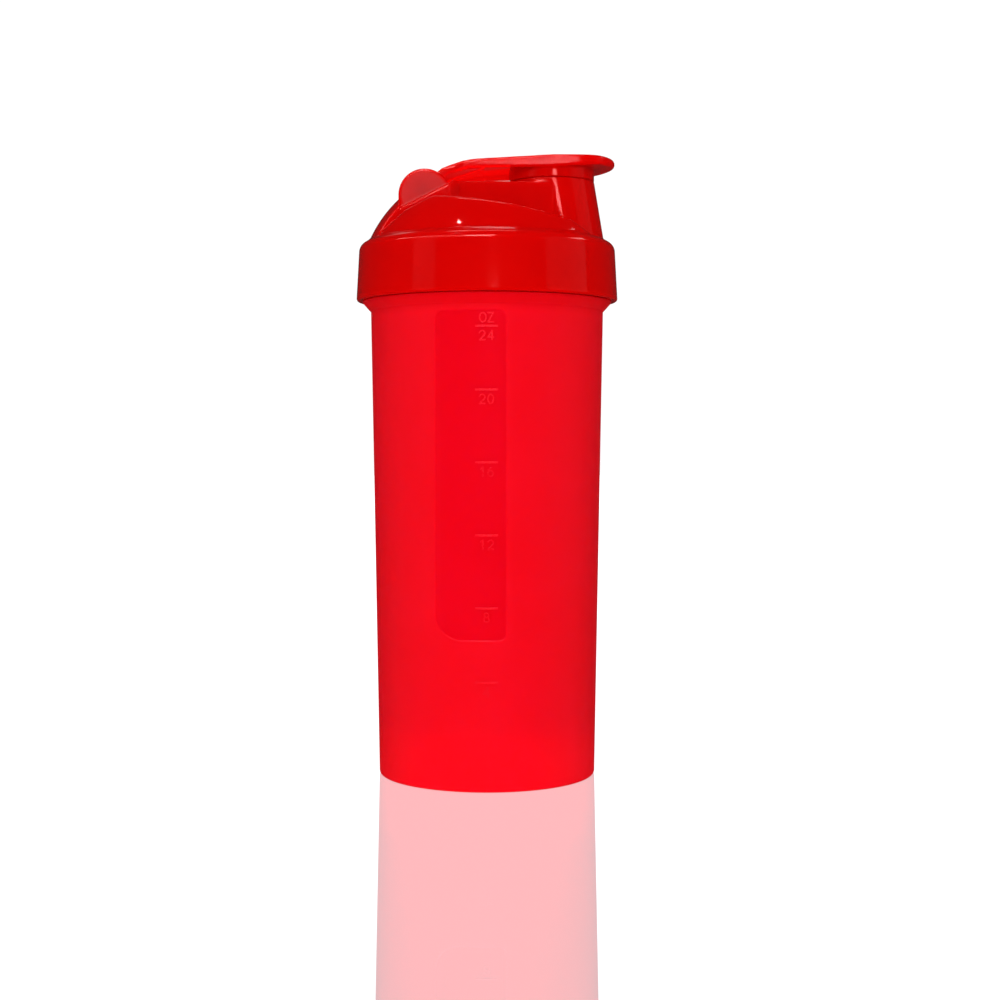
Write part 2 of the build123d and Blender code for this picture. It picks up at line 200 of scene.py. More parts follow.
def settle(distance, points, faces, step, rounds=3):
    """Evens the mesh out along the surface and puts it exactly on it."""
    limit = step * 0.6
    ends = np.concatenate([faces[:, [i, (i + 1) % 4]] for i in range(4)])
    links = np.bincount(ends.ravel(), minlength=len(points))[:, None]
    for turn in range(rounds):
        for _ in range(3):
            slope = gradient(distance, points)
            size = np.maximum((slope * slope).sum(1), 0.05)
            move = -(distance(*points.T) / size)[:, None] * slope
            length = np.linalg.norm(move, axis=1, keepdims=True)
            points = points + move * np.minimum(1, limit / np.maximum(length, 1e-9))
        if turn == rounds - 1:
            break
        mean = np.zeros_like(points)
        for axis in range(3):
            mean[:, axis] += np.bincount(ends[:, 0], points[ends[:, 1], axis], len(points))
            mean[:, axis] += np.bincount(ends[:, 1], points[ends[:, 0], axis], len(points))
        shift = mean / links - points
        normal = gradient(distance, points)
        normal /= np.maximum(np.linalg.norm(normal, axis=1, keepdims=True), 1e-6)
        shift -= (shift * normal).sum(1, keepdims=True) * normal
        points = points + 0.5 * shift
    normal = gradient(distance, points, 0.05)
    normal /= np.maximum(np.linalg.norm(normal, axis=1, keepdims=True), 1e-6)
    return points, normal


def make_mesh(name, points, faces, normals=None):
    mesh = bpy.data.meshes.new(name)
    mesh.from_pydata((np.asarray(points) * MM).tolist(), [], [list(face) for face in faces])
    mesh.polygons.foreach_set("use_smooth", [True] * len(mesh.polygons))
    if normals is not None:
        mesh.normals_split_custom_set_from_vertices(normals.tolist())
    mesh.update()
    thing = bpy.data.objects.new(name, mesh)
    bpy.context.scene.collection.objects.link(thing)
    return thing


def moulded(name, distance, low, high, step):
    points, faces = net(distance, low, high, step)
    points, normals = settle(distance, points, faces, step)
    return make_mesh(name, points, faces, normals)


# ---- sizes taken from the frame ----
def node_box(node):
    low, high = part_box(node)
    return [c / MM for c in low], [c / MM for c in high]


lid_low, lid_high = node_box("screw_lid")
cup_high = node_box("cup")[1]
cap_low, cap_high = node_box("flip_cap")

# ---- lid: collar and dome ----
COLLAR_BOTTOM = lid_low[2]
COLLAR_RADIUS = lid_high[0]
COLLAR_LEAN = 0.95
COLLAR_SIDE_TOP = 186.9
SHOULDER = 1.6
CONE_FOOT = (44.40, 189.52)
CONE_SLOPE = math.radians(29.9)
CREASE_Z = 190.73
DOME_CENTRE = 171.9
DOME_RADIUS = 46.3
WALL = 2.2
BORE = 43.6
SHELF = 188.2
SKIRT_OUT = 39.8
SKIRT_IN = 38.4
SKIRT_BOTTOM = 183.0
LEDGE = [(-FAR, 191), (-37.5, 191), (-28, 199.1)]
LEDGE += bend((-18.6, 203.4), (3.5, 200.4), (25.4, 195.7), 9)
LEDGE += [(29.1, 195.3), (36.2, 191), (FAR, 191)]

# ---- lid: band, tower and lip ----
DECK = 210.5
BAND = 14.3
BAND_LEAN = 0.0827
BAND_BORE = 12.95
PAD = 18.2
RIDGE_X = -30.5
TOWER_X = 23.4
TOWER_RADIUS = 15.15
TOWER_TOP = 212.0
TOWER_FOOT_X = 27.0
TOWER_FOOT_RADIUS = 15.2
THROAT_FOOT_X = 24.6
THROAT_FOOT_RADIUS = 13.2
TOWER_FOOT = 190.0
LIP_OUT = 11.8
LIP_IN = 10.0
LIP_TOP = lid_high[2]

BAND_ROOF = [(-FAR, 176), (-FAR, 240), (RIDGE_X, 240), (RIDGE_X, 200.5)]
BAND_ROOF += [(-13.6, 208.95), (-12, DECK), (TOWER_X, DECK), (TOWER_X, 176)]
PAD_PLAN = [(-FAR, -5), (-FAR, PAD), (-12.6, PAD), (-9.8, BAND), (-9.8, -5)]

# ---- hinge ----
HINGE_X = -22.4
HINGE_Z = 206.8
EAR_X = -21.9
EAR_Z = 205.3
EAR_RADIUS = 9.15
EAR_ROOT = 200.0
EAR_IN = 15.2
EAR_OUT = 17.6
POCKET = 6.0
KNUCKLE = 5.4
SOCKET = 2.28
TRUNNION = 2.2

# ---- screw thread ----
LEAD = 14.4
STARTS = 3
SPAN = 150.0
RIDGE_HEIGHT = 1.4
RIDGE_SECTION = [(-2, 0), (-2, 1.3), (0, 1.3), (RIDGE_HEIGHT, 0.8), (RIDGE_HEIGHT, 0)]
CUP_THREAD = 173.4
LID_THREAD = CUP_THREAD - LEAD / STARTS / 2


def thread_gap(x, y, z, level):
    """Height above the middle of the nearest ridge, and the angle past its ends in millimetres."""
    angle = np.degrees(np.arctan2(y, x)) % 360
    best = np.full(x.shape, 1e9)
    past = np.full(x.shape, 1e9)
    for start in range(STARTS):
        turned = (angle - start * 360 / STARTS) % 360
        turned = np.where(turned > (SPAN + 360) / 2, turned - 360, turned)
        held = np.clip(turned, 0, SPAN)
        height = z - level - LEAD * held / 360
        over = np.maximum(-turned, turned - SPAN) * math.radians(1) * BORE
        nearer = np.hypot(height, np.maximum(over, 0)) < np.hypot(best, np.maximum(past, 0))
        best = np.where(nearer, height, best)
        past = np.where(nearer, over, past)
    return best, past


def ridge(x, y, z, level, root, outward):
    height, past = thread_gap(x, y, z, level)
    rise = (np.hypot(x, y) - root) * outward
    section = polygon(rise, np.abs(height), RIDGE_SECTION)
    return both(section, past, 0.8)


def dome_shell(x, y, z, radius):
    return np.sqrt(x * x + y * y + (z - DOME_CENTRE) ** 2) - radius


def lid_outside(x, y, z):
    rho = np.hypot(x, y)
    ay = np.abs(y)
    side = rho - ramp(z, COLLAR_BOTTOM, COLLAR_SIDE_TOP, COLLAR_RADIUS, COLLAR_RADIUS - COLLAR_LEAN)
    cone = (rho - CONE_FOOT[0]) * math.sin(CONE_SLOPE) + (z - CONE_FOOT[1]) * math.cos(CONE_SLOPE)
    collar = both(both(side, cone, SHOULDER), z - CREASE_Z)
    collar = both(collar, COLLAR_BOTTOM - z, 0.9)
    dome = dome_shell(x, y, z, DOME_RADIUS)
    ledge = polygon(x, z, [(FAR, 150), (-FAR, 150)] + LEDGE)
    ledges = both(dome, ledge, 0.9)
    shape = either(both(ledges, 185 - z), collar, 0.1)
    roof = polygon(x, z, BAND_ROOF)
    pads = polygon(x, ay, PAD_PLAN)
    walls = both(ay - BAND - (DECK - z) * BAND_LEAN, slab(x, -12, TOWER_X))
    band = both(both(dome, roof, 0.5), either(pads, walls, 0.3), 0.4)
    shape = either(shape, both(band, 185 - z), 0.8)
    tower_radius = ramp(z, TOWER_FOOT, TOWER_TOP, TOWER_FOOT_RADIUS, TOWER_RADIUS)
    tower_x = ramp(z, TOWER_FOOT, TOWER_TOP, TOWER_FOOT_X, TOWER_X)
    tower = both(np.hypot(x - tower_x, y) - tower_radius, slab(z, TOWER_FOOT, TOWER_TOP), 0.1)
    shape = either(shape, tower, 1.2)
    lip = both(disc(x, y, TOWER_X, 0, LIP_OUT), slab(z, 205, LIP_TOP), 0.7)
    shape = either(shape, lip, 0.4)
    ear = both(slab(x, EAR_X - EAR_RADIUS, EAR_X), slab(z, EAR_ROOT, EAR_Z))
    ear = either(ear, disc(x, z, EAR_X, EAR_Z, EAR_RADIUS))
    ear = both(ear, slab(ay, EAR_IN, EAR_OUT), 0.7)
    shape = either(shape, ear, 0.5)
    pocket = both(disc(x, z, HINGE_X, HINGE_Z, POCKET), ay - EAR_IN)
    shape = without(shape, pocket, 0.3)
    return without(shape, both(disc(x, z, HINGE_X, HINGE_Z, SOCKET), ay - 16.9))


def lid_inside(x, y, z):
    rho = np.hypot(x, y)
    ay = np.abs(y)
    inner = DOME_RADIUS - WALL
    low_roof = polygon(x, z, [(FAR, 150), (-FAR, 150)] + [(a, b - WALL) for a, b in LEDGE])
    ceiling = dome_shell(x, y, z, inner)
    bore = both(rho - BORE, slab(z, 150, SHELF), 0.3)
    skirt = both(slab(rho, SKIRT_IN, SKIRT_OUT), slab(z, SKIRT_BOTTOM, 200), 0.5)
    space = either(bore, both(both(ceiling, low_roof, 1.0), rho - SKIRT_IN), 0)
    strip = both(both(ceiling, rho - SKIRT_IN), both(x - RIDGE_X + WALL, ay - PAD + WALL, 1.0), 1.0)
    space = either(space, both(strip, 180 - z))
    deck = polygon(x, z, [(-14.2, 185), (-14.2, 205.4), (-11.2, 208.4), (TOWER_X, 208.4), (TOWER_X, 185)])
    space = either(space, both(deck, ay - BAND_BORE, 1.0), 0.4)
    throat_radius = ramp(z, TOWER_FOOT, TOWER_TOP - WALL, THROAT_FOOT_RADIUS, TOWER_RADIUS - WALL)
    throat_x = ramp(z, TOWER_FOOT, TOWER_TOP - WALL, THROAT_FOOT_X, TOWER_X)
    throat = both(np.hypot(x - throat_x, y) - throat_radius, slab(z, TOWER_FOOT, TOWER_TOP - WALL), 1.0)
    space = either(space, throat, 0.4)
    space = either(space, both(disc(x, y, TOWER_X, 0, LIP_IN), slab(z, 200, 230)), 0.3)
    space = without(space, skirt, 0)
    return either(space, both(both(rho - BORE, slab(z, 150, SHELF), 0.3), SKIRT_OUT - rho), 0)


def lid_shape(x, y, z):
    solid = without(lid_outside(x, y, z), lid_inside(x, y, z), 0.4)
    return either(solid, ridge(x, y, z, LID_THREAD, BORE, -1), 0.3)


def spots(thing):
    """Where the mesh's vertices are, in millimetres."""
    return np.array([v.co for v in thing.data.vertices]) / MM


def paint(thing, name, values):
    """Keeps one number for each vertex, for a material to read."""
    layer = thing.data.attributes.new(name, "FLOAT", "POINT")
    layer.data.foreach_set("value", np.asarray(values).astype(np.float32))


def grown(corner, by):
    return [c + by for c in corner]


lid = moulded("screw_lid_shell", lid_shape, grown(lid_low, -1), grown(lid_high, 1), LID_STEP)
x, y, z = spots(lid).T
on_ear = np.clip((np.abs(y) - EAR_OUT + 0.25) / 0.2, 0, 1)
on_ear *= np.clip(EAR_RADIUS - 0.6 - np.hypot(x - EAR_X, z - EAR_Z), 0, 1)
on_ear *= np.abs(y) < EAR_OUT + 0.1
paint(lid, "matte", on_ear)

# ---- flip cap ----
CAP_HALF = 14.8
HEAD_HALF = 15.9
TIP_RADIUS = 19.3
TIP_X = cap_high[0] - TIP_RADIUS
TIP_CORNER = 3.0
CAP_TOP = cap_high[2]
CAP_TIP_BOTTOM = 216.75
CAP_SKIN = 1.8
RING_BOTTOM = 212.03
RING_IN = 13.4
SEAT_RADIUS = 12.4
SEAT_BOTTOM = 216.5
SEAT_TOP = 218.2
CAP_PLAN = [(-30, -5), (-30, CAP_HALF), (-11.5, CAP_HALF)]
CAP_PLAN += [(-8.5, HEAD_HALF), (TIP_X, HEAD_HALF), (TIP_X, -5)]
CAP_SIDE = [(-20.4, 211.4)] + bend((-15.9, 215.0), (-9.2, 217.3), (-0.8, 218.4), 7)
CAP_SIDE += [(TOWER_X, CAP_TOP), (50, CAP_TOP), (50, CAP_TIP_BOTTOM), (44, CAP_TIP_BOTTOM)]
CAP_SIDE += [(TOWER_X, 215.35), (-7.0, 215.0), (-13.5, 213.0), (-18.2, 209.2)]
UNDER_SKIN = [(-17.4, 211.2), (-15.0, 213.3), (-9.4, 215.6), (-2.0, 216.8)]
CAP_UNDER = [(-17.4, 200)] + UNDER_SKIN + [(TOWER_X, 218.2), (TOWER_X, 200)]
CHEEK = [(-17.3, 208.2), (-12.6, 210.7), (-0.9, 214.7), (-0.5, 216.9)]
CHEEK += [(-7.6, 216.9), (-15.8, 214.6), (-21.0, 210.6)]
BETWEEN_CHEEKS = [(HINGE_X - 4, 195), (HINGE_X - 4, HINGE_Z - 2)]
BETWEEN_CHEEKS += [(HINGE_X - 2.6, HINGE_Z + 2.2), (HINGE_X + 0.8, HINGE_Z + 3.6)]
BETWEEN_CHEEKS += UNDER_SKIN + [(4.0, 217.13), (4.0, 195)]


def cap_shape(x, y, z):
    ay = np.abs(y)
    tip = both(disc(x, y, TIP_X, 0, TIP_RADIUS), ay - HEAD_HALF, TIP_CORNER)
    plan = either(polygon(x, ay, CAP_PLAN), tip)
    side = polygon(x, z, CAP_SIDE)
    plate = both(plan, side, ramp(x, 26, 38, 0.8, 1.4))
    plate = without(plate, both(polygon(x, z, CAP_UNDER), ay - CAP_HALF + CAP_SKIN, 0.8), 0.4)
    around = disc(x, y, TOWER_X, 0, TOWER_RADIUS)
    shape = either(plate, both(around, slab(z, RING_BOTTOM, SEAT_TOP + 0.6), 0.1), 0.5)
    cheek = either(polygon(x, z, CHEEK), disc(x, z, HINGE_X, HINGE_Z, KNUCKLE), 1.5)
    cheek = both(cheek, ay - CAP_HALF, 0.5)
    cheek = without(cheek, both(polygon(x, z, BETWEEN_CHEEKS), ay - CAP_HALF + 2.0, 0.6), 0.4)
    shape = either(shape, cheek, 0.4)
    shape = without(shape, both(disc(x, y, TOWER_X, 0, RING_IN), slab(z, 200, SEAT_BOTTOM)), 0.3)
    shape = without(shape, both(disc(x, y, TOWER_X, 0, SEAT_RADIUS), slab(z, 205, SEAT_TOP)), 0.2)
    trunnion = both(disc(x, z, HINGE_X, HINGE_Z, TRUNNION), slab(ay, 13.5, 16.7), 0.3)
    return either(shape, trunnion, 0.2)


cap = moulded("flip_cap_shell", cap_shape, grown(cap_low, -1), grown(cap_high, 1), CAP_STEP)
# Daylight comes through the thin plate, so the arm's underside is painted to glow.
x, y, z = spots(cap).T
facing_down = np.clip(-2 * gradient(cap_shape, spots(cap), 0.05)[:, 2], 0, 1)
behind_tower = x < TOWER_X - TOWER_RADIUS
sheltered = facing_down * behind_tower * (z > 209)
inner_cheek = (np.abs(y) < CAP_HALF - 1.0) * (x > -17) * behind_tower
paint(cap, "glow", np.maximum(sheltered, inner_cheek * (z < 217.2)))

# ---- cup ----
FOOT_RADIUS = 38.55
FOOT_INNER = 36.9
BODY_TOP = 165.2
BODY_RADIUS = 41.7
CUP_WALL = 1.3
FLOOR = 7.5
FLOOR_WALL = 1.4
BOWL = 15.0
FLANGE_RADIUS = cup_high[0]
FLANGE_TOP = 168.9
RIM = cup_high[2]
WINDOW_X = -5.5
WINDOW_WIDTH = 24.1
WINDOW_LOW = 51.5
WINDOW_HIGH = 163.0
WINDOW_CORNER = 2.5
WINDOW_ARCH = 9.0
WINDOW_DEPTH = 0.2


def body_radius(z):
    return FOOT_RADIUS + (BODY_RADIUS - FOOT_RADIUS) * z / BODY_TOP


def arc(centre, radius, start, end, steps):
    """Points on an arc, angles in degrees from +radius towards +Z."""
    angles = np.radians(np.linspace(start, end, steps))
    return [(centre[0] + radius * math.cos(a), centre[1] + radius * math.sin(a)) for a in angles]


def run(a, b, spacing):
    """Points from a to b, both ends left out, with one close to each end to hold the corner."""
    length = math.hypot(b[0] - a[0], b[1] - a[1])
    shares = list(np.linspace(0, 1, max(2, round(length / spacing)) + 1)[1:-1])
    hold = min(0.15 / length, 0.3)
    shares = sorted(set([hold, 1 - hold] + [s for s in shares if hold * 1.5 < s < 1 - hold * 1.5]))
    return [(a[0] + (b[0] - a[0]) * s, a[1] + (b[1] - a[1]) * s) for s in shares]


def join(parts, spacing=2.0):
    """One outline from several, with straight runs between them."""
    points = []
    for part in parts:
        if points:
            points += run(points[-1], part[0], spacing)
        points += part
    return points


def lathe(name, outline, angles, reshape=None):
    """A closed outline of (radius, height) turned round the axis."""
    outline = np.array(outline)
    count, turns = len(outline), len(angles)
    radius = np.repeat(outline[:, 0][:, None], turns, 1)
    height = np.repeat(outline[:, 1][:, None], turns, 1)
    angle = np.repeat(np.asarray(angles)[None, :], count, 0)
    if reshape is not None:
        radius = reshape(radius, height, angle)
    points = np.stack([radius * np.cos(angle), radius * np.sin(angle), height], -1).reshape(-1, 3)
    i = np.arange(count)[:, None]
    j = np.arange(turns)[None, :]
    ni, nj = (i + 1) % count, (j + 1) % turns
    quads = np.stack([i * turns + j, i * turns + nj, ni * turns + nj, ni * turns + j], -1).reshape(-1, 4)
    return make_mesh(name, points, quads)


def window_distance(x, z):
    """Distance from the measuring window's rounded edge, in the plane it is seen in."""
    across = x - WINDOW_X
    up = z - (WINDOW_LOW + WINDOW_HIGH) / 2
    corner = np.where((across < 0) & (up < 0), WINDOW_ARCH, WINDOW_CORNER)
    u = np.abs(across) - WINDOW_WIDTH / 2 + corner
    v = np.abs(up) - (WINDOW_HIGH - WINDOW_LOW) / 2 + corner
    return np.hypot(np.maximum(u, 0), np.maximum(v, 0)) + np.minimum(np.maximum(u, v), 0) - corner


def sink_window(radius, height, angle):
    x = radius * np.cos(angle)
    front = (np.sin(angle) < 0) & (radius > body_radius(height) - 0.05) & (height < BODY_TOP)
    share = np.clip(0.5 - window_distance(x, height) / 0.5, 0, 1)
    share = share * share * (3 - 2 * share)
    return radius - np.where(front, WINDOW_DEPTH * share, 0)


lean = math.degrees(math.atan((BODY_RADIUS - FOOT_RADIUS) / BODY_TOP))
bowl_reach = body_radius(FLOOR + BOWL) - CUP_WALL - BOWL
under = BOWL + FLOOR_WALL
under_end = math.degrees(math.asin((FOOT_INNER - bowl_reach - 0.3) / under)) - 90
neck_in = BODY_RADIUS - CUP_WALL
wall_bottom = arc((FOOT_RADIUS - 1.2 + 0.02, 1.2), 1.2, -90, -lean, 7)
wall_top = [(BODY_RADIUS, BODY_TOP)]
wall_heights = [
    np.arange(3, WINDOW_LOW - 2, 2.5),
    np.arange(WINDOW_LOW - 1.2, WINDOW_LOW + 10, 0.2),
    np.arange(WINDOW_LOW + 11, WINDOW_HIGH - 4, 2.0),
    np.arange(WINDOW_HIGH - 3.6, WINDOW_HIGH + 1.2, 0.2),
]
main_wall = [(body_radius(z), z) for z in np.concatenate(wall_heights)]
flange_edge = [
    (FLANGE_RADIUS - 0.05, FLANGE_TOP - 0.4),
    (FLANGE_RADIUS, FLANGE_TOP - 0.25),
    (FLANGE_RADIUS - 0.1, FLANGE_TOP - 0.07),
    (FLANGE_RADIUS - 0.3, FLANGE_TOP),
]
cup_outline = join([
    [(0.01, FLOOR - FLOOR_WALL)],
    arc((bowl_reach, FLOOR + BOWL), under, -90, under_end, 16),
    [(FOOT_INNER - 0.3, 14.9), (FOOT_INNER, 14.0)],
    [(FOOT_INNER, 0.3), (FOOT_INNER + 0.3, 0.0)],
    wall_bottom,
    main_wall,
    wall_top,
    flange_edge,
    [(BODY_RADIUS + 0.3, FLANGE_TOP), (BODY_RADIUS, FLANGE_TOP + 0.3)],
    arc((BODY_RADIUS - 0.5, RIM - 0.5), 0.5, 0, 90, 5),
    arc((neck_in + 0.5, RIM - 0.5), 0.5, 90, 180, 5),
    [(neck_in, BODY_TOP)],
    arc((bowl_reach, FLOOR + BOWL), BOWL, -lean, -90, 20),
    [(0.01, FLOOR)],
], 3.0)
edge_low = math.asin(max(-1, (WINDOW_X - WINDOW_WIDTH / 2 - 2) / BODY_RADIUS))
edge_high = math.asin((WINDOW_X + WINDOW_WIDTH / 2 + 3) / BODY_RADIUS)
fine = np.arange(edge_low, edge_high, 0.0072)
rest = np.linspace(edge_high, edge_low + 2 * math.pi, 200)[:-1]
cup_angles = np.concatenate([fine, rest]) - math.pi / 2
cup = lathe("cup_shell", cup_outline, cup_angles, sink_window)
x, y, z = spots(cup).T
paint(cup, "window", np.clip(0.5 - window_distance(x, z) / 0.7, 0, 1) * (y < 0))


def cup_thread_shape(x, y, z):
    ridges = ridge(x, y, z, CUP_THREAD, BODY_RADIUS, 1)
    return both(ridges, BODY_RADIUS - 0.4 - np.hypot(x, y))


cup_thread = moulded("cup_thread", cup_thread_shape, [-45, -45, 170], [45, 45, 184], THREAD_STEP)

# ---- graduation bars and numbers, raised on the window ----
BAR_LEVELS = [37.4, 62.5, 87.1, 111.7, 136.2, 157.6]
BAR_X = -0.15
BAR_WIDTH = 7.7
BAR_THICK = 0.6
MARK_HEIGHT = 0.25
DIGIT_HEIGHT = 3.1
DIGIT_GAP = 1.3
UNIT_GAP = 1.0
OUNCES_PER_BAR = 4
# How pale each bar and number is, from the foot up: partly the marks' own paler tone, partly painted
# highlight that the upper rows catch.
BAR_TONE_AND_HIGHLIGHT = [0.4, 0.7, 0.75, 0.8, 0.9, 1.0]
DIGIT_TONE_AND_HIGHLIGHT = [0.03, 0.06, 0.08, 0.12, 0.5, 0.8]


def wrap(x, z, out):
    """A point of the flat drawing, put on the front of the cup's wall."""
    radius = body_radius(z) - WINDOW_DEPTH
    side = np.clip(x / radius, -1, 1)
    r = radius + out
    return np.stack([r * side, -r * np.sqrt(1 - side * side), z], -1)


def half_circle(centre, radius, direction):
    """The round end of a stroke that runs in that direction."""
    turns = direction + np.linspace(-math.pi / 2, math.pi / 2, 7)
    return [(centre[0] + radius * math.cos(t), centre[1] + radius * math.sin(t)) for t in turns]


def stroke(points, width):
    """A flat rounded line through some points, as boxes with round ends."""
    shapes = []
    for a, b in zip(points[:-1], points[1:]):
        direction = math.atan2(b[1] - a[1], b[0] - a[0])
        shapes.append(half_circle(b, width / 2, direction) + half_circle(a, -width / 2, direction))
    return shapes


def ring_points(cx, cy, rx, ry, start, end, steps):
    """Points on an ellipse, angles in degrees."""
    turns = np.radians(np.linspace(start, end, steps))
    return [(cx + rx * math.cos(t), cy + ry * math.sin(t)) for t in turns]


# Letters one unit tall, drawn as a pen would.
SIX_BOWL = ring_points(0.3, 0.31, 0.3, 0.31, 150, 510, 15)
SIX_STEM = ring_points(0.62, 0.36, 0.62, 0.64, 180, 110, 7)
GLYPHS = {
    "0": [ring_points(0.3, 0.5, 0.3, 0.5, 90, 450, 17)],
    "1": [[(0.12, 0.8), (0.35, 1.0), (0.35, 0.0)]],
    "2": [ring_points(0.3, 0.7, 0.3, 0.3, 170, -35, 10) + [(0.0, 0.0), (0.62, 0.0)]],
    "4": [[(0.45, 0.0), (0.45, 1.0), (0.0, 0.3), (0.64, 0.3)]],
    "6": [SIX_BOWL, SIX_STEM],
    "8": [ring_points(0.3, 0.76, 0.25, 0.24, 90, 450, 13), ring_points(0.3, 0.27, 0.3, 0.27, 90, 450, 13)],
    "O": [ring_points(0.36, 0.5, 0.36, 0.5, 90, 450, 17)],
    "Z": [[(0.0, 1.0), (0.6, 1.0), (0.0, 0.0), (0.62, 0.0)]],
}
ADVANCE = 0.92
LETTER_WIDTH = 0.62
PEN = 0.42
BEVEL = 0.06
ROOT = -0.15


def marks_mesh():
    points, faces, tone_and_highlight = [], [], []

    def put(shape, strength):
        """A flat convex outline raised into a small closed block on the wall."""
        flat = np.array(shape)
        bottom = wrap(flat[:, 0], flat[:, 1], ROOT)
        middle = wrap(flat[:, 0], flat[:, 1], MARK_HEIGHT - BEVEL)
        centre = flat.mean(0)
        reach = np.maximum(np.hypot(*(flat - centre).T), 0.2)
        inner = centre + (flat - centre) * (1 - BEVEL / reach)[:, None]
        top = wrap(inner[:, 0], inner[:, 1], MARK_HEIGHT)
        start, n = len(points), len(flat)
        tone_and_highlight.extend([strength] * 3 * n)
        points.extend(np.concatenate([bottom, middle, top]).tolist())
        for row in (start, start + n):
            for i in range(n):
                j = (i + 1) % n
                faces.append([row + i, row + j, row + n + j, row + n + i])
        faces.append([start + 2 * n + i for i in range(n)])
        faces.append([start + i for i in range(n)][::-1])

    def word(text, centre_x, base, strength):
        width = (len(text) - 1) * ADVANCE + LETTER_WIDTH
        for place, letter in enumerate(text):
            left = centre_x + (place * ADVANCE - width / 2) * DIGIT_HEIGHT
            for line in GLYPHS[letter]:
                drawn = [(left + u * DIGIT_HEIGHT, base + v * DIGIT_HEIGHT) for u, v in line]
                for shape in stroke(drawn, PEN):
                    put(shape, strength)

    for number, level in enumerate(BAR_LEVELS):
        half = BAR_WIDTH / 2
        steps = np.linspace(-half, half, 9)
        low = [(BAR_X + s, level - BAR_THICK / 2) for s in steps]
        high = [(BAR_X + s, level + BAR_THICK / 2) for s in steps[::-1]]
        put(low + high, BAR_TONE_AND_HIGHLIGHT[number])
        below = level - BAR_THICK / 2 - DIGIT_GAP - DIGIT_HEIGHT
        word(str(OUNCES_PER_BAR * (number + 1)), BAR_X, below, DIGIT_TONE_AND_HIGHLIGHT[number])
    word("OZ", BAR_X, BAR_LEVELS[-1] + BAR_THICK / 2 + UNIT_GAP, DIGIT_TONE_AND_HIGHLIGHT[-1])
    made = make_mesh("graduations", points, faces)
    paint(made, "tone_and_highlight", tone_and_highlight)
    return made


marks = marks_mesh()
for face in marks.data.polygons:
    face.use_smooth = False


# ---- materials ----
def material(name, settings):
    made = bpy.data.materials.new(name)
    made.use_nodes = True
    shader = made.node_tree.nodes["Principled BSDF"]
    for socket, value in settings.items():
        shader.inputs[socket].default_value = value
    return made, made.node_tree, shader


def node(tree, kind, **settings):
    made = tree.nodes.new(kind)
    for key, value in settings.items():
        if key in made.inputs:
            made.inputs[key].default_value = value
        else:
            setattr(made, key, value)
    return made


def object_point(tree):
    return node(tree, "ShaderNodeTexCoord").outputs["Object"]


def noise(tree, point, scale, detail=3.0, roughness=0.5):
    made = node(tree, "ShaderNodeTexNoise", Scale=scale, Detail=detail, Roughness=roughness)
    tree.links.new(point, made.inputs["Vector"])
    return made.outputs["Fac"]


def spread(tree, value, low, high, from_low=0.3, from_high=0.7):
    made = node(tree, "ShaderNodeMapRange")
    made.inputs["From Min"].default_value = from_low
    made.inputs["From Max"].default_value = from_high
    made.inputs["To Min"].default_value = low
    made.inputs["To Max"].default_value = high
    tree.links.new(value, made.inputs["Value"])
    return made.outputs["Result"]


def blend_colour(tree, factor, a, b):
    made = node(tree, "ShaderNodeMix", data_type="RGBA")
    for socket, colour in zip([s for s in made.inputs if s.type == "RGBA"], (a, b)):
        socket.default_value = (*colour, 1)
    tree.links.new(factor, made.inputs["Factor"])
    return [o for o in made.outputs if o.type == "RGBA"][0]


def blend_sockets(tree, kind, factor, a, b):
    """A mix of two values or colours, each a socket or a constant."""
    made = node(tree, "ShaderNodeMix", data_type=kind)
    wanted = "RGBA" if kind == "RGBA" else "VALUE"
    ends = [s for s in made.inputs if s.type == wanted and s.name in ("A", "B") and s.enabled]
    for socket, value in zip(ends, (a, b)):
        if hasattr(value, "is_linked"):
            tree.links.new(value, socket)
        else:
            socket.default_value = value
    tree.links.new(factor, made.inputs["Factor"])
    return [o for o in made.outputs if o.type == wanted and o.enabled][0]


def bump(tree, shader, height, strength, distance):
    made = node(tree, "ShaderNodeBump", Strength=strength, Distance=distance)
    tree.links.new(height, made.inputs["Height"])
    tree.links.new(made.outputs["Normal"], shader.inputs["Normal"])
    return made


